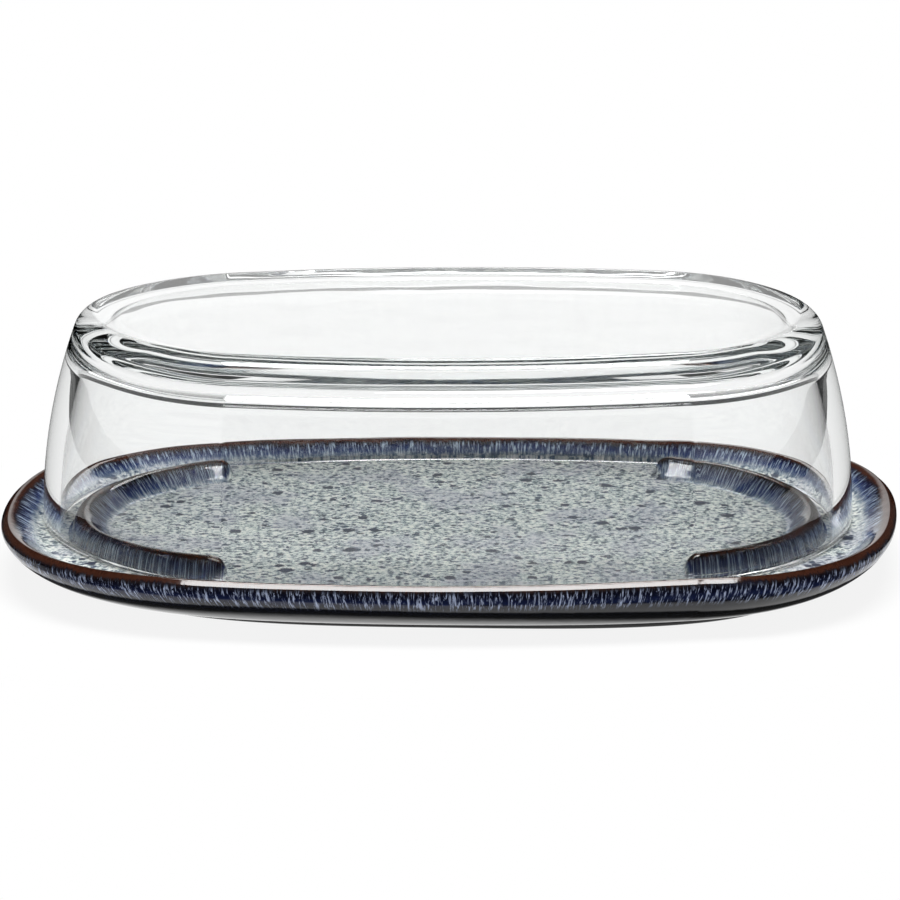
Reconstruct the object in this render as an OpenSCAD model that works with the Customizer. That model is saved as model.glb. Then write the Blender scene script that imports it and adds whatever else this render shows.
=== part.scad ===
// Two-piece butter dish: a glazed stoneware tray with two locating ridges, and a
// thick pressed glass cover that stands on the tray around those ridges.
//
// Every outline but the foot ring's runs parallel to one oval plan of four arcs. A
// piece is a cross-section swept along that plan and closed by a slab in the middle.
// In each cross-section x is the distance out from the tray's edge (inside is
// negative) and y is the height above the table.

/* [Plan] */
// Length of the tray
tray_l = 215; // [195:1:240]
// Width of the tray
tray_w = 134; // [120:1:146]

/* [Tray] */
// Thickness of the floor
floor_t = 7.2; // [5:0.1:9]
// Height of the rim over the floor
rim_h = 4; // [2.8:0.1:6]
// Radius of the rounded top of the rim
rim_r = 2.1; // [1.4:0.1:2.6]
// Width of the slope from the top of the rim down to the floor
rim_slope_w = 7.4; // [5:0.1:9]
// How far the belly curves in from the widest line to the underside
belly_w = 13; // [9:0.5:16]

/* [Foot ring] */
// Height of the foot ring below the belly
foot_h = 1.5; // [1:0.1:2.4]
// Width of the foot ring
foot_w = 5; // [3:0.5:8]
// Distance of the foot ring in from the tray's sides
foot_side_in = 14; // [12:0.5:18]
// Distance of the foot ring in from the tray's ends
foot_end_in = 24; // [18:0.5:26]
// Radius of the foot ring's corners
foot_corner_r = 43; // [34:1:46]
// Depth of the hollow inside the foot ring
hollow_h = 3; // [2.5:0.1:4]

/* [Locating ridges] */
// Height of the ridges over the floor
ridge_h = 4.4; // [3:0.1:6]
// Width of the steep outer face
ridge_face_w = 1.6; // [1:0.1:2.4]
// Width of the rounded top
ridge_top_w = 1.8; // [1.2:0.1:2.4]
// Width of the gentle inner slope
ridge_slope_w = 5; // [3:0.1:7]
// Open length of the floor between the two ridges
ridge_gap_l = 104; // [90:1:120]
// Gap between the foot of the cover and the ridge
ridge_gap = 3.6; // [2:0.1:5]

/* [Cover] */
// Gap between the slope of the rim and the foot of the cover
cover_gap = 1.5; // [0.6:0.1:3]
// Height of the cover
cover_h = 51; // [44:1:64]
// Thickness of the wall at the foot
foot_wall_t = 4.6; // [3.4:0.1:6]
// Thickness of the wall under the shoulder
wall_t = 5.4; // [4:0.1:6.5]
// Thickness of the top
top_t = 8; // [6.5:0.1:11]
// Draft of the wall, foot to shoulder
draft_w = 7.9; // [5:0.1:11]
// Swell of the wall beyond a straight line
wall_swell = 1; // [0:0.1:1.6]
// Radius of the outer shoulder
shoulder_r = 5.8; // [3.5:0.1:7]
// Width of the rounded inner corner under the top
corner_w = 9; // [6:0.1:11]
// Height of that corner
corner_h = 7.4; // [5:0.1:9.5]
// Radius of the rounded edges of the foot
foot_edge_r = 1.2; // [0.6:0.1:1.6]

/* [Hidden] */

// How far a slab or a ridge laps into the piece it joins
lap = 2;

// Heights, from the table up
floor_z = hollow_h + floor_t;
rim_z = floor_z + rim_h;
ridge_z = floor_z + ridge_h;
cover_z = floor_z;
top_z = cover_z + cover_h;

// Distances in from the edge of the tray
slope_in = rim_r + rim_slope_w;
cover_in = slope_in + cover_gap;
ridge_in = cover_in + foot_wall_t + ridge_gap;
ridge_top_in = ridge_in + ridge_face_w;
ridge_end_in = ridge_top_in + ridge_top_w + ridge_slope_w;

// The arcs of the plan meet on lines that rise 60 for every 11 across. As 11, 60 and
// 61 are the sides of a right triangle, every centre and radius is a whole number of
// steps from an axis or the edge. The step is kept to a ten-thousandth of a mm.
across = 11;
rise = 60;
step = round(500 * (tray_l - tray_w)) / 10000;
end_x = across * step;
side_y = rise * step;
end_r = tray_l / 2 - end_x;
side_r = tray_w / 2 + side_y;

// Points of an elliptical arc, from angle a0 to a1 in n steps
function bend(c, rx, ry, a0, a1, n) =
    [for (i = [0:n]) let (a = a0 + (a1 - a0) * i / n) c + [rx * cos(a), ry * sin(a)]];

// Points of an S-curve from p to q, level at both ends
function ease(p, q, n) =
    [for (i = [0:n]) let (t = i / n) [p.x + (q.x - p.x) * t, p.y + (q.y - p.y) * (1 - cos(180 * t)) / 2]];

// The part of a swept piece between two of the lines on which the arcs meet
module wedge(apex) {
    reach = 2;
    far_x = end_x + across * reach;
    far_y = rise * reach;
    translate([0, 0, -lap]) linear_extrude(2 * top_z)
        polygon(concat([apex, [far_x, far_y]],
            apex.x > 0 ? [[tray_l, far_y], [tray_l, -far_y], [far_x, -far_y]] : [[-far_x, far_y]]));
}

// Sweeps a cross-section along the plan, one end and one side at a time
module sweep() {
    for (turn = [0, 180])
        rotate(turn) {
            intersection() {
                translate([end_x, 0]) rotate_extrude($fn = 180) translate([end_r, 0]) children();
                wedge([end_x, 0]);
            }
            intersection() {
                translate([0, -side_y]) rotate_extrude($fn = 360) translate([side_r, 0]) children();
                wedge([0, -side_y]);
            }
        }
}

// Closes the middle of a swept piece, inside a distance, from height z0 to z1
module slab(inset, z0, z1) {
    straight = tray_l - tray_w;
    width = tray_w - 2 * inset;
    translate([0, 0, z0]) linear_extrude(z1 - z0) {
        square([straight, width], center = true);
        for (x = [-1, 1])
            translate([x * straight / 2, 0]) circle(width / 2, $fn = 180);
    }
}

// ---- tray
// Belly, rounded rim, slope and floor of the tray
module tray_section() {
    crest_half = 0.6;    // half of the level strip on top of the rim
    belly_z = rim_z - rim_r;
    middle = -ridge_end_in - 2 * lap;
    polygon(concat(
        [[middle, foot_h]],
        bend([-belly_w, belly_z], belly_w, belly_z - foot_h, -90, 0, 14),
        bend([-rim_r, rim_z - rim_r], rim_r, rim_r, 0, 84, 7),
        ease([-rim_r - crest_half, rim_z], [-slope_in, floor_z], 10),
        [[middle, floor_z]]
    ));
}

// Steep outer face, rounded top and gentle inner slope of a ridge
module ridge_section() {
    top_r = ridge_top_w / 2;
    low = floor_z - lap;
    polygon(concat(
        [[-ridge_in, low], [-ridge_in, floor_z]],
        bend([-ridge_top_in - top_r, ridge_z - top_r], top_r, top_r, 15, 90, 5),
        ease([-ridge_top_in - 2 * top_r, ridge_z - top_r / 4], [-ridge_end_in, floor_z], 9),
        [[-ridge_end_in, low]]
    ));
}

// The open length between the ridges, whose ends are drafted and rounded
module ridge_opening() {
    draft = 0.3 * ridge_h;
    end_r = 0.6 * ridge_h;
    half = ridge_gap_l / 2;
    end = concat([[half, floor_z - 2 * lap], [half, floor_z]],
        bend([half + draft + end_r, ridge_z - end_r], end_r, end_r, 170, 90, 6),
        [[half + draft + end_r, ridge_z + lap]]);
    rotate([90, 0, 0]) linear_extrude(tray_w, center = true)
        polygon(concat(end, [for (i = [len(end) - 1:-1:0]) [-end[i].x, end[i].y]]));
}

module ridges() {
    difference() {
        sweep() ridge_section();
        ridge_opening();
    }
}

// The foot ring's outline, moved in by a distance and drawn from height z0 to z1
module foot_block(inset, z0, z1) {
    r = foot_corner_r - inset;
    corner_x = tray_l / 2 - foot_end_in - foot_corner_r;
    corner_y = tray_w / 2 - foot_side_in - foot_corner_r;
    translate([0, 0, z0]) linear_extrude(z1 - z0) {
        square([2 * corner_x, 2 * (corner_y + r)], center = true);
        square([2 * (corner_x + r), 2 * corner_y], center = true);
        for (x = [-1, 1], y = [-1, 1])
            translate([x * corner_x, y * corner_y]) circle(r, $fn = 180);
    }
}

module tray() {
    color("lightsteelblue") difference() {
        union() {
            sweep() tray_section();
            slab(ridge_end_in + lap, foot_h, floor_z);
            ridges();
            foot_block(0, 0, foot_h + lap);
        }
        foot_block(foot_w, -lap, hollow_h);
    }
}

// ---- cover
// Heights where the outer wall meets the shoulder, and the inner wall its corner
wall_z = top_z - shoulder_r;
ceiling_z = top_z - top_t;
inner_z = ceiling_z - corner_h;

// Distance in from the tray's edge of the outer and inner faces at a height
function outer_in(z) = let (t = (z - cover_z) / (wall_z - cover_z))
    cover_in + draft_w * t - wall_swell * 4 * t * (1 - t);
function inner_in(z) = let (t = (z - cover_z) / (wall_z - cover_z))
    outer_in(z) + foot_wall_t + (wall_t - foot_wall_t) * t;

// Where the level ceiling begins
ceiling_in = inner_in(inner_z) + corner_w;

// Rounded foot, swelling wall, shoulder and thick top of the cover
module cover_section() {
    foot_z = cover_z + foot_edge_r;
    middle = -ceiling_in - 2 * lap;
    outer = [for (i = [1:10]) let (z = foot_z + (wall_z - foot_z) * i / 10) [-outer_in(z), z]];
    inner = [for (i = [8:-1:1]) let (z = foot_z + (inner_z - foot_z) * i / 8) [-inner_in(z), z]];
    polygon(concat(
        bend([-outer_in(foot_z) - foot_edge_r, foot_z], foot_edge_r, foot_edge_r, -90, 0, 4),
        outer,
        bend([-outer_in(wall_z) - shoulder_r, wall_z], shoulder_r, shoulder_r, 8, 90, 8),
        [[middle, top_z], [middle, ceiling_z]],
        bend([-ceiling_in, inner_z], corner_w, corner_h, 90, 8, 8),
        inner,
        bend([-inner_in(foot_z) + foot_edge_r, foot_z], foot_edge_r, foot_edge_r, 180, 270, 4)
    ));
}

module cover() {
    color("aliceblue", 0.4) {
        sweep() cover_section();
        slab(ceiling_in + lap, ceiling_z, top_z);
    }
}

tray();
cover();
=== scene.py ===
"""Looks of the butter dish: a glazed stoneware tray under a thick pressed glass cover.

Lengths in this script are millimetres until a mesh is written, which is in metres.
A section lists points (in, up): how far in from the tray's edge, and how high.
"""

import math

import bpy
import numpy as np
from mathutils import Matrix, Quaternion, Vector
from mathutils.bvhtree import BVHTree


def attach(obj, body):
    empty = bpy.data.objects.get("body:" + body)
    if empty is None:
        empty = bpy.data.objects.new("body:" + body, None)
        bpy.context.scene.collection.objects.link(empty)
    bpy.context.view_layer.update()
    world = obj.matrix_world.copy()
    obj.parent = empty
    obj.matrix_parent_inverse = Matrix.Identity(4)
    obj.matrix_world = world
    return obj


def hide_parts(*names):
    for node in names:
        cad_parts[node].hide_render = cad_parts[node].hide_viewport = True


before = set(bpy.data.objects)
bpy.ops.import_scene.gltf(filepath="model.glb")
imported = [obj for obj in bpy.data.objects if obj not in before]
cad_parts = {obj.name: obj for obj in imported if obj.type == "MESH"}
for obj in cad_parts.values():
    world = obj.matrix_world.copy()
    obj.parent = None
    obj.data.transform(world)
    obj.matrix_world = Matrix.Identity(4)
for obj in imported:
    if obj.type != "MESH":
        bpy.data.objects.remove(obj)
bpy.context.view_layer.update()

MM = 0.001
PICTURE = 900               # side of the photograph in pixels

# Oval plan of four arcs, as in the CAD
HALF_LENGTH, HALF_WIDTH = 107.5, 67.0
STEP = (HALF_LENGTH - HALF_WIDTH) / 10
END_X, SIDE_Y = 11 * STEP, 60 * STEP
END_R, SIDE_R = HALF_LENGTH - END_X, HALF_WIDTH + SIDE_Y
ARC_TURN = math.atan2(60, 11)

# Tray
FLOOR_UP = 10.2
RIM_UP = 14.2
RIM_R = 1.75
SLOPE_IN = 9.5
RIDGE_TALL = 4.35
RIDGE_OUT, RIDGE_IN = 19.2, 27.6
RIDGE_CREST = 21.7
RIDGE_MIDDLE = 23
RIDGE_BREAK = 21.2          # where its glaze is thinnest and breaks to brown
RIDGE_END_X = 52.0
FOOT_HALF = (82.3, 52.4)
FOOT_POWER = 3.2
FOOT_TURN = -3.6            # degrees
FOOT_SHIFT = (0.9, 0.1)
BELLY_POWER = 1.72          # 2 would be a quarter ellipse, less is flatter
BELLY_UP = 1.4              # height of the belly's lower edge
FOOT_LAND = 5.0
HOLLOW_UP = 3.0
TRAY_POINTS = 1000          # in a ring around the tray

# Cover
COVER_IN = 11.0
TOP_UP = 61.2
TOP_T = 8.0
DRAFT = 7.4
SWELL = 2.0
FOOT_WALL, TOP_WALL = 4.6, 5.4
SHOULDER_R = 5.8
CORNER_W, CORNER_H = 9.0, 7.4
FOOT_EDGE_R = 1.2
WALL_TALL = TOP_UP - SHOULDER_R - FLOOR_UP
COVER_MIDDLE_IN = 58        # inset of the rings inside which strips close the top and the ceiling
COVER_POINTS = 900          # in a ring around the cover

# How far the hand-finished outlines lie inside the plan: (waves around, cosine part, sine part)
TRAY_WANDER = ((0, -0.4, 0), (1, -0.55, 0.4), (2, -0.15, -0.05), (3, 0.2, -0.6), (4, 2.0, -0.9))
COVER_WANDER = ((2, 1.0, 0.15), (3, 0.4, -0.7), (4, -0.45, 0.2))
COVER_SHIFT = (0.1, 0.5)
RIM_WAVE, RIDGE_WAVE = 0.3, 0.25    # how far the heights of the rim and the ridges wander

# Camera
CAMERA_AZIMUTH = -2.09      # degrees
CAMERA_ELEVATION = 15.77
CAMERA_ROLL = 0.26
CAMERA_DISTANCE = 1.010
CAMERA_LENS = 170.8
CAMERA_AIM = (-0.00004, 0.0, 0.02731)

# Light turns this often inside the thick shoulder before it is out; fewer bounces leave it black
GLASS_BOUNCES = 24

# Sweep under the dish, as rings of one shape whose share is 1 at the tray's edge
RING_POWER = 2.6            # 2 would be an ellipse, more is squarer
SWEEP_END = 0.33            # metres from the middle; past it, rays through glass meet the room
SWEEP_LONGER = 0.04         # metres that the sweep reaches further at the ends

# Image points, in pixels of the photograph, from its upper left corner
IMAGE_POINTS = {
    "front_crest_left": (134, 572.5),
    "front_crest_middle": (450, 589.5),
    "front_crest_right": (650, 585),
    "front_left_ridge_end": (219, 554),
    "front_right_ridge_end": (693.7, 550),
    "foot_ring_left": (155, 609.5),
    "foot_ring_right": (760, 613),
    "cover_foot_left": (45.3, 508.6),
    "cover_foot_right": (848.5, 506.5),
    "cover_top_left": (100, 300),
    "cover_top_middle": (450, 267.4),
    "cover_top_right": (798, 300),
}


def srgb(text):
    """Linear colour of a #RRGGBB hex colour."""
    parts = [int(text[i:i + 2], 16) / 255 for i in (1, 3, 5)]
    return [c / 12.92 if c <= 0.04045 else ((c + 0.055) / 1.055) ** 2.4 for c in parts] + [1.0]


def add(tree, kind, sockets=(), stops=(), **settings):
    """Adds a shader node: sockets maps its inputs to values, nodes or outputs; stops fill a colour ramp."""
    new = tree.nodes.new("ShaderNode" + kind)
    for name, value in settings.items():
        setattr(new, name, value)
    for key, value in dict(sockets).items():
        if isinstance(value, bpy.types.Node):
            value = value.outputs[0]
        if isinstance(value, bpy.types.NodeSocket):
            tree.links.new(value, new.inputs[key])
        else:
            new.inputs[key].default_value = value
    for i, (place, value) in enumerate(stops):
        ramp = new.color_ramp.elements
        stop = ramp[i] if i < len(ramp) else ramp.new(place)
        stop.position = place
        stop.color = srgb(value) if isinstance(value, str) else (value, value, value, 1)
    return new


def maths(tree, operation, *values):
    """Adds a Math node over its values, in the order of its sockets."""
    return add(tree, "Math", dict(enumerate(values)), operation=operation)


def remap(tree, value, low, high, to_low=0.0, to_high=1.0, **settings):
    """Adds a Map Range node: low becomes to_low and high to_high, and nothing passes either."""
    sockets = {"Value": value, "From Min": low, "From Max": high, "To Min": to_low, "To Max": to_high}
    return add(tree, "MapRange", sockets, **settings)


def material(name):
    made = bpy.data.materials.new(name)
    made.use_nodes = True
    made.node_tree.nodes.clear()
    return made, made.node_tree


# ---- shapes
def plan(distance, inset=0.0, wander=()):
    """Points of the oval at distances along it, from the back's middle, anticlockwise."""
    side = SIDE_R * (math.pi / 2 - ARC_TURN)
    end = END_R * ARC_TURN
    marks = np.cumsum([0, side, 2 * end, 2 * side, 2 * end, side])
    turns = np.array([0, math.pi / 2 - ARC_TURN, math.pi / 2 + ARC_TURN,
                      3 * math.pi / 2 - ARC_TURN, 3 * math.pi / 2 + ARC_TURN, 2 * math.pi])
    turn = np.interp(distance, marks, turns) + math.pi / 2
    normal = np.stack([np.cos(turn), np.sin(turn)], -1)
    at_end = np.abs(normal[:, 0]) > math.cos(ARC_TURN)
    centre = np.where(at_end[:, None], np.stack([END_X * np.sign(normal[:, 0]), 0 * turn], -1),
                      np.stack([0 * turn, -SIDE_Y * np.sign(normal[:, 1])], -1))
    radius = np.where(at_end, END_R, SIDE_R) - inset
    for k, cosine, sine in wander:
        radius = radius - cosine * np.cos(k * turn) - sine * np.sin(k * turn)
    return centre + normal * radius[:, None]


PERIMETER = 4 * (SIDE_R * (math.pi / 2 - ARC_TURN) + END_R * ARC_TURN)


def spread(density, count):
    """Distances along the oval, closer together where density is high."""
    fine = np.linspace(0, PERIMETER, 12000)
    total = np.concatenate([[0], np.cumsum((density(fine[1:]) + density(fine[:-1])) / 2 * np.diff(fine))])
    return np.interp(np.arange(count) / count * total[-1], total, fine)


def waves(distance, seed, shortest):
    """A smooth closed wander along the oval, about -1 to 1, with no wave shorter than asked."""
    rng = np.random.default_rng(seed)
    value = np.zeros_like(distance)
    for k in range(1, int(PERIMETER / shortest) + 1):
        turn = 2 * math.pi * k * distance / PERIMETER
        value += rng.normal() * np.cos(turn + rng.uniform(0, 6.3)) / k ** 0.7
    return value / np.abs(value).max()


def smooth(low, high, value):
    t = np.clip((value - low) / (high - low), 0, 1)
    return t * t * (3 - 2 * t)


def arc(centre, rx, ry, start, end, count):
    turn = np.radians(np.linspace(start, end, count))
    return [(centre[0] + rx * math.cos(t), centre[1] + ry * math.sin(t)) for t in turn]


def skin(name, rings):
    """A closed mesh through rings of points; the first and last ring are closed by strips across."""
    count = len(rings[0])
    points = np.concatenate(rings) * MM
    faces = []
    here = np.arange(count)
    there = (here + 1) % count
    for k in range(len(rings) - 1):
        a, b = k * count, (k + 1) * count
        faces.append(np.stack([a + here, b + here, b + there, a + there], -1))
    strip = np.arange(count // 2 - 1)
    across = np.stack([strip, strip + 1, count - 2 - strip, count - 1 - strip], -1)
    faces += [across, across[:, ::-1] + (len(rings) - 1) * count]
    mesh = bpy.data.meshes.new(name)
    mesh.from_pydata(points.tolist(), [], np.concatenate(faces).tolist())
    mesh.polygons.foreach_set("use_smooth", np.ones(len(mesh.polygons), bool))
    made = bpy.data.objects.new(name, mesh)
    bpy.context.scene.collection.objects.link(made)
    return made


def note(made, name, kind, values):
    """Writes one value a vertex, for the material to read."""
    layer = made.data.attributes.new(name, kind, "POINT")
    layer.data.foreach_set("vector" if kind == "FLOAT_VECTOR" else "value", np.asarray(values, float).ravel())


def ridge_profile(inset):
    """Height share of the ridge's section: steep outer face, rounded top, gentle inner slope."""
    outer = np.clip((inset - RIDGE_OUT) / (RIDGE_CREST - RIDGE_OUT), 0, 1)
    inner = np.clip((RIDGE_IN - inset) / (RIDGE_IN - RIDGE_CREST), 0, 1)
    rise = (1 - (1 - outer) ** 2.6) ** (1 / 1.9)
    fall = smooth(0, 1, inner) ** 0.9
    return np.where(inset < RIDGE_CREST, rise, fall)


def tray_stations():
    """Insets and heights of the tray's upper side, from its middle out: up to the crest, and past it."""
    # Coarse in the middle, fine over the ridges
    insets = (*range(62, 32, -3), *np.arange(31, 16.6, -0.3), 16, 15, 14, 12.8, 11.6, 10.5)
    below = [(inset, FLOOR_UP) for inset in insets]
    for t in np.linspace(0, 1, 17):
        rise = 0.45 * (1 - math.cos(math.pi * t)) / 2 + 0.55 * t
        below.append((SLOPE_IN + (RIM_R - SLOPE_IN) * t, FLOOR_UP + (RIM_UP - FLOOR_UP) * rise))
    bevel = zip(np.linspace(1.08, 0.1, 5), np.linspace(RIM_UP - 0.33, RIM_UP - 1.17, 5))
    crest = [(RIM_R - 0.12, RIM_UP - 0.005), (RIM_R - 0.25, RIM_UP - 0.03), (RIM_R - 0.45, RIM_UP - 0.12),
             (1.18, RIM_UP - 0.24), *bevel, (0.08, RIM_UP - 1.32), (0.04, RIM_UP - 1.44),
             (0.01, RIM_UP - 1.58), (0.0, RIM_UP - RIM_R)]
    return below, crest


def foot_outline(middle, inset):
    """The foot ring's outline seen from the same directions as the points in middle."""
    turn = math.radians(FOOT_TURN)
    angle = np.arctan2(middle[:, 1], middle[:, 0]) - turn
    a, b = FOOT_HALF[0] - inset, FOOT_HALF[1] - inset
    share = np.abs(np.cos(angle) / a) ** FOOT_POWER + np.abs(np.sin(angle) / b) ** FOOT_POWER
    far = share ** (-1 / FOOT_POWER)
    return far[:, None] * np.stack([np.cos(angle + turn), np.sin(angle + turn)], -1) + FOOT_SHIFT


def make_tray():
    def density(distance):
        # Points crowd where the ridges end
        x = np.abs(plan(distance, RIDGE_MIDDLE)[:, 0])
        return 1.35 + 3 * np.exp(-((x - RIDGE_END_X - 1.5) / 3.5) ** 2)

    s = spread(density, TRAY_POINTS)
    edge = plan(s, 0, TRAY_WANDER)
    rim_wave = RIM_WAVE * waves(s, 3, 40)
    ridge_wave = RIDGE_WAVE * waves(s, 5, 30)
    rings, runs, flows, outside = [], [], [], []
    ring = PERIMETER / (2 * math.pi)
    ring_xy = ring * np.stack([np.cos(s / ring), np.sin(s / ring)], -1)
    below, crest = tray_stations()
    stations = below + crest
    path = np.concatenate([[0], np.cumsum(np.hypot(*np.diff(np.array(stations), axis=0).T))])
    crest_at = path[len(below)]

    def keep(points, height, run, along, out):
        rings.append(np.column_stack([points, np.broadcast_to(height, len(s))]))
        runs.append(np.broadcast_to(run, len(s)))
        flows.append(np.column_stack([ring_xy, np.broadcast_to(along, len(s))]) * MM)
        outside.append(np.full(len(s), out))

    for (inset, up), along in zip(stations, path):
        free = smooth(RIDGE_OUT - 3, SLOPE_IN, inset)
        points = plan(s, inset) * (1 - free) + plan(s, inset, TRAY_WANDER) * free
        lift = np.zeros(len(s))
        run = np.full(len(s), abs(along - crest_at))
        if RIDGE_OUT - 1 < inset < RIDGE_IN + 12:
            past = np.abs(points[:, 0]) - RIDGE_END_X
            nose = (1 - (1 - np.clip(past / 4.5, 0, 1)) ** 2.6) ** (1 / 2.2)
            lift = ridge_profile(inset) * nose * (RIDGE_TALL + np.minimum(ridge_wave, 0.1) - 0.15)
            from_crest = abs(inset - RIDGE_BREAK) * (1.9 if inset < RIDGE_BREAK else 1.15)
            run = np.minimum(run, from_crest + 14 * (1 - smooth(-1.5, 1.5, past)))
        rise = rim_wave * smooth(SLOPE_IN, RIM_R, inset)
        keep(points, up + lift + rise, run, along, smooth(0, 3, along - crest_at))
    foot = foot_outline(edge, 0)
    belly_up = RIM_UP - RIM_R
    along = path[-1]
    for turn in np.radians(np.linspace(0, 90, 34)[1:]):
        inward = 1 - math.cos(turn) ** (2 / BELLY_POWER)
        down = math.sin(turn) ** (2 / BELLY_POWER)
        along += 0.6
        up = belly_up + rim_wave * (1 - down) - (belly_up - BELLY_UP) * down
        keep(edge + (foot - edge) * inward, up, along - crest_at, along, 1.0)
    ring_section = ((0, 1.1), (0, 0.7), (0, 0.4), (0.3, 0.1), (0.8, 0), (FOOT_LAND - 0.8, 0),
                    (FOOT_LAND - 0.2, 0.3), (FOOT_LAND, 1), (FOOT_LAND + 0.2, HOLLOW_UP - 0.3),
                    (FOOT_LAND + 0.8, HOLLOW_UP), (15, HOLLOW_UP), (30, HOLLOW_UP), (45, HOLLOW_UP))
    for inset, up in ring_section:
        along += 1
        keep(foot_outline(edge, inset), up, along - crest_at, along, 1.0)
    made = skin("tray_glazed", rings)
    note(made, "run", "FLOAT", np.concatenate(runs))
    note(made, "flow", "FLOAT_VECTOR", np.concatenate(flows))
    note(made, "outside", "FLOAT", np.concatenate(outside))
    return made


def cover_faces(up):
    """How far in the cover's outer and inner faces are at a height."""
    t = (up - FLOOR_UP) / WALL_TALL
    outer = COVER_IN + DRAFT * t - SWELL * 4 * t * (1 - t)
    inner = outer + FOOT_WALL + (TOP_WALL - FOOT_WALL) * t
    return outer, inner


def corner_start(face, centre_up, wide, tall):
    """Angle and height at which a rounded corner leaves a wall without a kink."""
    up = centre_up
    for _ in range(6):
        lean = max(cover_faces(up + 0.05)[face] - cover_faces(up - 0.05)[face], 0) / 0.1
        turn = math.atan(lean * tall / wide)
        up = centre_up + tall * math.sin(turn)
    return math.degrees(turn), up


def cover_stations():
    """The cover's section, from the middle of its top down the outer wall, and up the inner wall."""
    ceiling_up = TOP_UP - TOP_T
    foot_up = FLOOR_UP + FOOT_EDGE_R
    turn, wall_up = corner_start(0, TOP_UP - SHOULDER_R, SHOULDER_R, SHOULDER_R)
    middle = cover_faces(wall_up)[0] + SHOULDER_R * math.cos(math.radians(turn))
    top = [(d, TOP_UP) for d in np.linspace(COVER_MIDDLE_IN, middle + 0.5, 18)]
    shoulder = arc((middle, TOP_UP - SHOULDER_R), -SHOULDER_R, SHOULDER_R, 90, turn, 30)
    outer = [(cover_faces(z)[0], z) for z in np.linspace(wall_up, foot_up, 30)[1:]]
    foot_out, foot_in = cover_faces(foot_up)
    foot = arc((foot_out + FOOT_EDGE_R, foot_up), -FOOT_EDGE_R, FOOT_EDGE_R, -5, -90, 8)
    foot += arc((foot_in - FOOT_EDGE_R, foot_up), FOOT_EDGE_R, FOOT_EDGE_R, -90, -5, 8)
    turn, inner_up = corner_start(1, ceiling_up - CORNER_H, CORNER_W, CORNER_H)
    middle = cover_faces(inner_up)[1] + CORNER_W * math.cos(math.radians(turn))
    inner = [(cover_faces(z)[1], z) for z in np.linspace(foot_up, inner_up, 30)[:-1]]
    corner = arc((middle, ceiling_up - CORNER_H), -CORNER_W, CORNER_H, turn, 90, 36)
    ceiling = [(d, ceiling_up) for d in np.linspace(middle + 0.5, COVER_MIDDLE_IN, 18)]
    return top + shoulder + outer + foot + inner + corner + ceiling


def make_cover():
    s = spread(np.ones_like, COVER_POINTS)
    rings = []
    for inset, up in cover_stations():
        outline = plan(s, inset, COVER_WANDER) + COVER_SHIFT
        rings.append(np.column_stack([outline, np.full(len(s), up)]))
    return skin("cover_pressed", rings)


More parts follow.
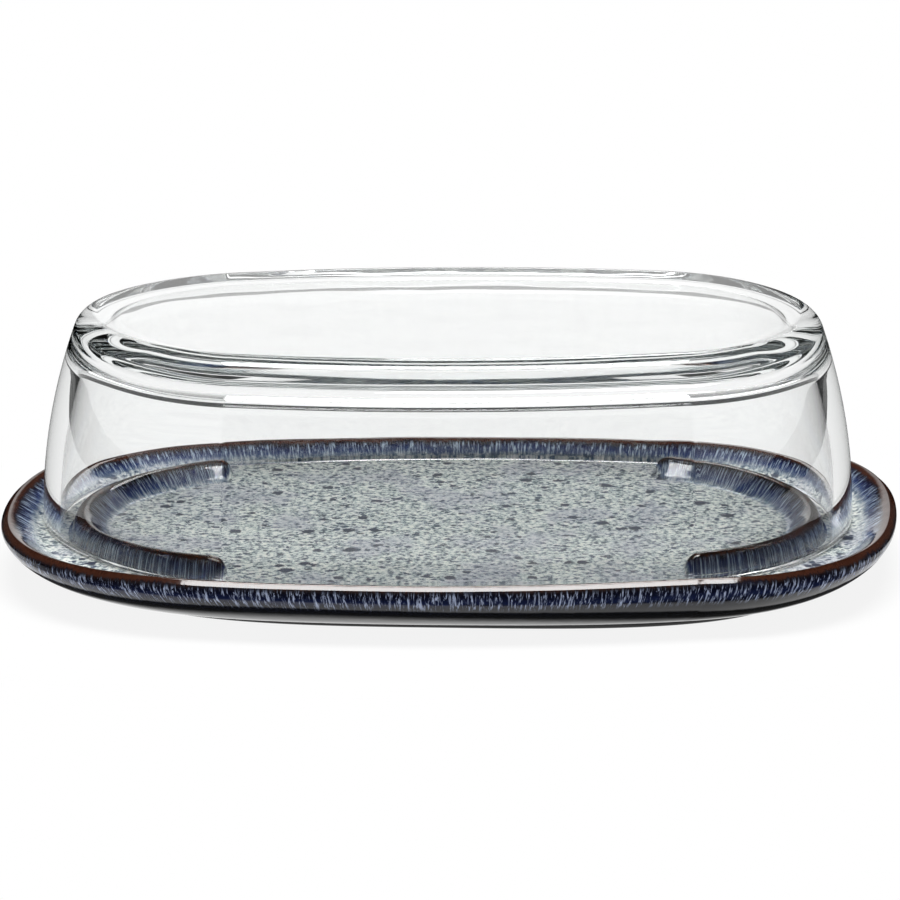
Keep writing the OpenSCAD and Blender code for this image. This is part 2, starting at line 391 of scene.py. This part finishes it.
# ---- materials
def glaze():
    """Reactive glaze on stoneware: one thick coat, fired till it ran. It breaks to iron brown where it is
    thin on an edge, streaks blue-white where it ran down a slope, and lies pale and flecked on the floor."""
    made, t = material("reactive_glaze_stoneware")

    def blend(share, first, second):
        return add(t, "MixRGB", {"Fac": share, "Color1": first, "Color2": second})

    def between(value, low, high):
        return remap(t, value, low, high, interpolation_type="SMOOTHSTEP")

    place = add(t, "TexCoord").outputs["Object"]
    flow = add(t, "Attribute", attribute_name="flow").outputs["Vector"]
    run = add(t, "Attribute", attribute_name="run").outputs["Fac"]
    outside = add(t, "Attribute", attribute_name="outside").outputs["Fac"]

    # Runs are 0.4 mm wide and some 4 mm long; the cloud shifts where they start, over 15 mm
    cloud = add(t, "TexNoise", {"Vector": place, "Scale": 70, "Detail": 3})
    drips = add(t, "Mapping", {"Vector": flow, "Scale": (1900, 1900, 230)})
    streak = add(t, "TexNoise", {"Vector": drips, "Scale": 1, "Detail": 4, "Roughness": 0.7,
                                 "Distortion": 0.6})
    shift = maths(t, "MULTIPLY_ADD", streak, 4.0, -2.0)
    shift = maths(t, "MULTIPLY_ADD", cloud, 3.0, shift)
    reach = maths(t, "ADD", run, maths(t, "SUBTRACT", shift, 1.5))
    share = remap(t, reach, 0, 12)
    line = between(streak, 0.5, 0.64)

    # The pale floor: grain of about a millimetre, small flecks and large ones
    grain = add(t, "TexNoise", {"Vector": place, "Scale": 850, "Detail": 3, "Roughness": 0.7})
    floor = add(t, "ValToRGB", {0: grain}, ((0.36, "#33404F"), (0.43, "#88969C"), (0.5, "#C8D2D1"),
                                            (0.57, "#ECF0EA"), (0.68, "#FBFBF5")))
    lilac = maths(t, "MULTIPLY", between(cloud, 0.48, 0.66), 0.35)
    floor = blend(lilac, floor, srgb("#9C9AB4"))
    warp = add(t, "TexNoise", {"Vector": place, "Scale": 700, "Detail": 3})
    warped = blend(0.0022, place, warp.outputs["Color"])
    for scale, largest, tone in ((430, 0.42, "#33435A"), (190, 0.40, "#1B2740")):
        cells = add(t, "TexVoronoi", {"Vector": warped, "Scale": scale, "Randomness": 1.0})
        size = maths(t, "MULTIPLY", cells.outputs["Color"], largest)
        fleck = between(maths(t, "SUBTRACT", size, cells.outputs["Distance"]), -0.02, 0.07)
        floor = blend(fleck, floor, srgb(tone))

    # From the crest inwards: brown, dark blue, and streaks until the pale floor begins
    inner = add(t, "ValToRGB", {0: share}, ((0.0, "#33190F"), (0.10, "#42251A"), (0.17, "#17121A"),
                                            (0.27, "#1A2044"), (0.42, "#31406A"), (0.6, "#6C7F96")))
    inner = blend(maths(t, "MULTIPLY", between(run, 1.4, 3.2), line), inner, srgb("#AFC0D0"))
    inner = blend(between(share, 0.40, 0.74), inner, floor)

    # From the crest down the outside: brown, dark blue with one band of streaks, and black on the belly
    outer = add(t, "ValToRGB", {0: share}, ((0.0, "#33190F"), (0.08, "#2E1912"), (0.16, "#120E12"),
                                            (0.28, "#0E1124"), (0.46, "#161E3C"), (0.60, "#0A0C18"),
                                            (0.9, "#07080C")))
    band = maths(t, "MULTIPLY", between(run, 1.8, 3.0), between(run, 9.0, 6.0))
    outer = blend(maths(t, "MULTIPLY", band, between(streak, 0.52, 0.62)), outer, srgb("#A6B1CC"))
    colour = blend(outside, inner, outer)

    # The pale floor is full of fine crystals and only satin; the dark runs are as glossy as glass
    dull = maths(t, "MULTIPLY", between(share, 0.45, 0.8), maths(t, "SUBTRACT", 1.0, outside))
    rough = remap(t, dull, 0, 1, 0.07, 0.5)
    swell = add(t, "TexNoise", {"Vector": place, "Scale": 260, "Detail": 2})
    bump = add(t, "Bump", {"Height": swell, "Strength": 0.12, "Distance": 0.0005})
    shader = add(t, "BsdfPrincipled", {"Base Color": colour, "Roughness": rough, "IOR": 1.5, "Normal": bump})
    add(t, "OutputMaterial", {"Surface": shader})
    return made


def pressed_glass():
    """Clear soda-lime glass, pressed in a mould and fire-polished: no colour, a gloss without grain, and
    faint waves from the mould that bend what shows through it."""
    made, t = material("clear_pressed_glass")
    place = add(t, "TexCoord").outputs["Object"]
    wave = add(t, "TexNoise", {"Vector": place, "Scale": 40, "Detail": 1})
    bump = add(t, "Bump", {"Height": wave, "Strength": 0.04, "Distance": 0.002})
    clear = (0.996, 0.999, 0.998, 1)
    shader = add(t, "BsdfGlass", {"Color": clear, "IOR": 1.51, "Roughness": 0.0, "Normal": bump})
    add(t, "OutputMaterial", {"Surface": shader})
    return made


def dress(made, look):
    made.data.materials.clear()
    made.data.materials.append(look)


def table_top():
    """Matt white paper sweep, lit from above: white, with a faint shadow under the dish. In gloss it shows
    painted light and shade: it glows white under the dish, in a ring below the tray's edge and in a band
    behind it, and is painted dark under the belly and black elsewhere."""
    made, t = material("paper_sweep")
    place = add(t, "TexCoord").outputs["Object"]
    fibre = add(t, "TexNoise", {"Vector": place, "Scale": 900, "Detail": 2})
    paper = add(t, "ValToRGB", {0: fibre}, ((0.3, "#E4E4E4"), (0.7, "#EAEAEA")))
    plain = add(t, "BsdfDiffuse", {"Color": paper})
    glow = add(t, "Emission", {"Color": (1, 1, 1, 1), "Strength": 1.0})

    spot = add(t, "SeparateXYZ", {0: place})
    along = maths(t, "ABSOLUTE", spot.outputs["X"])
    deep = maths(t, "ABSOLUTE", spot.outputs["Y"])
    far = [maths(t, "POWER", maths(t, "DIVIDE", value, half * MM), RING_POWER)
           for value, half in ((along, HALF_LENGTH), (deep, HALF_WIDTH))]
    far = maths(t, "POWER", maths(t, "ADD", *far), 1 / RING_POWER)

    # Painted light and shade for the glaze to mirror: white under the dish, a painted shadow under the belly,
    # a white ring below the tray's edge, black further out
    near = remap(t, far, 0.7, 1.3)
    ring = add(t, "ValToRGB", {0: near}, ((0.0, 1.0), (0.26, 1.0), (0.34, 0.05), (0.42, 0.03),
                                          (0.44, 1.0), (0.55, 1.0), (0.58, 0.0)))
    # A band of painted light behind the dish
    beyond = remap(t, spot.outputs["Y"], -0.05, 0.0)
    back = maths(t, "MULTIPLY", beyond, remap(t, far, 1.02, 1.06))
    back = maths(t, "MULTIPLY", back, remap(t, far, 1.3, 1.2))
    # Painted light: the sweep glows in these patterns to glossy rays, though it is no lamp
    painted_gloss_light = add(t, "Emission", {"Color": maths(t, "MAXIMUM", ring, back), "Strength": 1.0})

    path = add(t, "LightPath")
    lit = add(t, "MixShader", {0: remap(t, far, 1.5, 1.0, 0.0, 0.12), 1: glow, 2: plain})
    # To rays through glass the sweep ends a hand's breadth past the dish; beyond it the room shows
    aside = maths(t, "MAXIMUM", maths(t, "SUBTRACT", along, SWEEP_LONGER), 0.0)
    flat = add(t, "CombineXYZ", {"X": aside, "Y": spot.outputs["Y"]})
    reach = add(t, "VectorMath", {0: flat}, operation="LENGTH").outputs["Value"]
    past = maths(t, "GREATER_THAN", reach, SWEEP_END)
    past = maths(t, "MULTIPLY", past, path.outputs["Is Transmission Ray"])
    clear = add(t, "BsdfTransparent", {"Color": (1, 1, 1, 1)})
    lit = add(t, "MixShader", {0: past, 1: lit, 2: clear})

    # A ray that glass has bent counts as glossy too, so the test for it comes last
    shown = add(t, "MixShader", {0: path.outputs["Is Glossy Ray"], 1: plain, 2: painted_gloss_light})
    add(t, "OutputMaterial", {"Surface": add(t, "MixShader", {0: sees_white(t, path), 1: shown, 2: lit})})
    return made


# ---- picture
def make_camera():
    data = bpy.data.cameras.new("camera")
    made = bpy.data.objects.new("camera", data)
    bpy.context.scene.collection.objects.link(made)
    a, e = math.radians(CAMERA_AZIMUTH), math.radians(CAMERA_ELEVATION)
    back = Vector((math.sin(a) * math.cos(e), -math.cos(a) * math.cos(e), math.sin(e)))
    made.location = Vector(CAMERA_AIM) + CAMERA_DISTANCE * back
    facing = (-back).to_track_quat("-Z", "Y") @ Quaternion((0, 0, 1), math.radians(CAMERA_ROLL))
    made.rotation_euler = facing.to_euler()
    data.sensor_fit = "AUTO"
    data.lens = CAMERA_LENS
    data.clip_start = 0.01
    bpy.context.scene.camera = made
    return made


def make_world():
    """A pale studio: white to the camera and, but for two dark bands, through glass. In gloss the room is
    dark, with a white card behind the dish and a grey band low in front, which the glass wall mirrors."""
    world = bpy.data.worlds.new("studio")
    bpy.context.scene.world = world
    world.use_nodes = True
    t = world.node_tree
    t.nodes.clear()
    path = add(t, "LightPath")
    way = add(t, "SeparateXYZ", {0: add(t, "TexCoord").outputs["Generated"]})
    across, depth, up = way.outputs["X"], way.outputs["Y"], way.outputs["Z"]

    def around(middle, half):
        """1 where the way's height is within half of middle, else 0."""
        return maths(t, "COMPARE", up, middle, half)

    plain = add(t, "Background", {"Color": (0.2, 0.2, 0.2, 1), "Strength": 1.0})

    # Through glass the room is dark just under the horizon all round, which only the thick corners bend into
    # sight, and over the horizon in front, where the camera stands
    ahead = maths(t, "MULTIPLY", remap(t, depth, -0.8, -0.86), around(0.25, 0.25))
    dark = maths(t, "MAXIMUM", around(-0.055, 0.055), ahead)
    dark = maths(t, "MULTIPLY", dark, path.outputs["Is Transmission Ray"])
    white = add(t, "Background", {"Color": remap(t, dark, 0, 1, 1.0, 0.04), "Strength": 1.0})

    # In gloss: the card behind and the grey band in front
    card = maths(t, "MULTIPLY", remap(t, maths(t, "ABSOLUTE", across), 0.16, 0.1), remap(t, depth, 0.5, 0.55))
    card = maths(t, "MULTIPLY", card, remap(t, up, 0.5, 0.42))
    pale = maths(t, "MULTIPLY", remap(t, depth, -0.6, -0.75), around(0.14, 0.11))
    card = maths(t, "MAXIMUM", card, maths(t, "MULTIPLY", pale, 0.12))
    room = add(t, "Background", {"Color": remap(t, card, 0, 1, 0.03, 1.0), "Strength": 1.0})

    shown = add(t, "MixShader", {0: path.outputs["Is Glossy Ray"], 1: plain, 2: room})
    add(t, "OutputWorld", {"Surface": add(t, "MixShader", {0: sees_white(t, path), 1: shown, 2: white})})


def sees_white(t, path):
    """Camera rays, and rays that the glass alone has turned. A ray that the glaze scatters or mirrors out
    through the glass sees what lights the glaze instead: it crosses four faces and turns back once."""
    unscattered = maths(t, "LESS_THAN", path.outputs["Diffuse Depth"], 0.5)
    unturned = maths(t, "LESS_THAN", path.outputs["Glossy Depth"], 0.5)
    near = maths(t, "LESS_THAN", path.outputs["Transmission Depth"], 2.5)
    glass_only = maths(t, "MULTIPLY", unscattered, maths(t, "MAXIMUM", unturned, near))
    through = maths(t, "MULTIPLY", path.outputs["Is Transmission Ray"], glass_only)
    return maths(t, "MAXIMUM", path.outputs["Is Camera Ray"], through)


def make_lamp(name, size, power, place):
    """A softbox that faces the dish."""
    data = bpy.data.lights.new(name, "AREA")
    data.shape = "RECTANGLE"
    data.size, data.size_y = size
    data.energy = power
    made = bpy.data.objects.new(name, data)
    bpy.context.scene.collection.objects.link(made)
    made.location = place
    made.rotation_euler = (Vector((0, 0, 0)) - Vector(place)).to_track_quat("-Z", "Y").to_euler()


def place_at(x, y, made):
    """The place on a piece that shows at a point of the picture. A miss takes the place nearest the ray."""
    data, turn = camera.data, camera.matrix_world
    way = Vector((x - PICTURE / 2 + data.shift_x * PICTURE, PICTURE / 2 - y + data.shift_y * PICTURE,
                  -PICTURE * data.lens / data.sensor_width))
    start, way = turn.translation, (turn.to_3x3() @ way).normalized()
    tree = BVHTree.FromObject(made, bpy.context.evaluated_depsgraph_get())
    met = tree.ray_cast(start, way)[0]
    if met is None:
        places = places_of(made)
        off = places - np.array(start)
        aside = off - np.outer(off @ np.array(way), np.array(way))
        met = places[np.argmin((aside ** 2).sum(1))]
    return [round(float(v) / MM, 1) for v in met]


def places_of(made):
    places = np.empty(3 * len(made.data.vertices))
    made.data.vertices.foreach_get("co", places)
    return places.reshape(-1, 3)


def pixels_of(places):
    """Where places show in the picture."""
    data, turn = camera.data, np.array(camera.matrix_world.inverted())
    seen = places @ turn[:3, :3].T + turn[:3, 3]
    scale = PICTURE * data.lens / data.sensor_width / -seen[:, 2]
    return np.column_stack([PICTURE * (0.5 - data.shift_x) + seen[:, 0] * scale,
                            PICTURE * (0.5 + data.shift_y) - seen[:, 1] * scale])


def write_points():
    """How far each thing shows from its image point, in pixels, and the place in mm that shows there."""
    on_tray, on_cover = places_of(tray), places_of(cover)
    x, y, z = (on_tray / MM).T
    crest = on_tray[(y < 0) & (z > RIM_UP - 0.6)]
    inside_ridge = (y < 0) & (y > -HALF_WIDTH + RIDGE_OUT)
    nose = (abs(abs(x) - RIDGE_END_X - 2.5) < 2) & inside_ridge & (z > FLOOR_UP + 3.5)
    foot_ring = on_tray[(y < 0) & (z < 0.2)]
    up = on_cover[:, 2] / MM
    things = {"front_crest": (tray, crest), "front_left_ridge": (tray, on_tray[nose & (x < 0)]),
              "front_right_ridge": (tray, on_tray[nose & (x > 0)]), "foot_ring": (tray, foot_ring),
              "cover_foot": (cover, on_cover[up < FLOOR_UP + 2]),
              "cover_top": (cover, on_cover[up > TOP_UP - SHOULDER_R])}
    for name, point in IMAGE_POINTS.items():
        made, places = next(value for start, value in things.items() if name.startswith(start))
        off = pixels_of(places) - point
        nearest = off[np.argmin((off ** 2).sum(1))]
        [round(float(v), 1) for v in nearest] + [place_at(*point, made)]


tray = make_tray()
dress(tray, glaze())
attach(tray, "tray")
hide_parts("tray")
cover = make_cover()
dress(cover, pressed_glass())
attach(cover, "cover")
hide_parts("cover")

camera = make_camera()
make_world()
make_lamp("softbox_above", (0.66, 0.34), 12.0, (0, -0.1, 1.0))
make_lamp("softbox_behind", (0.25, 0.2), 0.9, (0.12, 0.7, 0.6))
bpy.ops.mesh.primitive_plane_add(size=6)
table = bpy.context.object
table.name = "table_top"
dress(table, table_top())
bpy.context.scene.view_settings.view_transform = "Standard"
for kind in ("max_bounces", "transmission_bounces", "glossy_bounces"):
    setattr(bpy.context.scene.cycles, kind, GLASS_BOUNCES)

bpy.context.view_layer.update()
write_points()
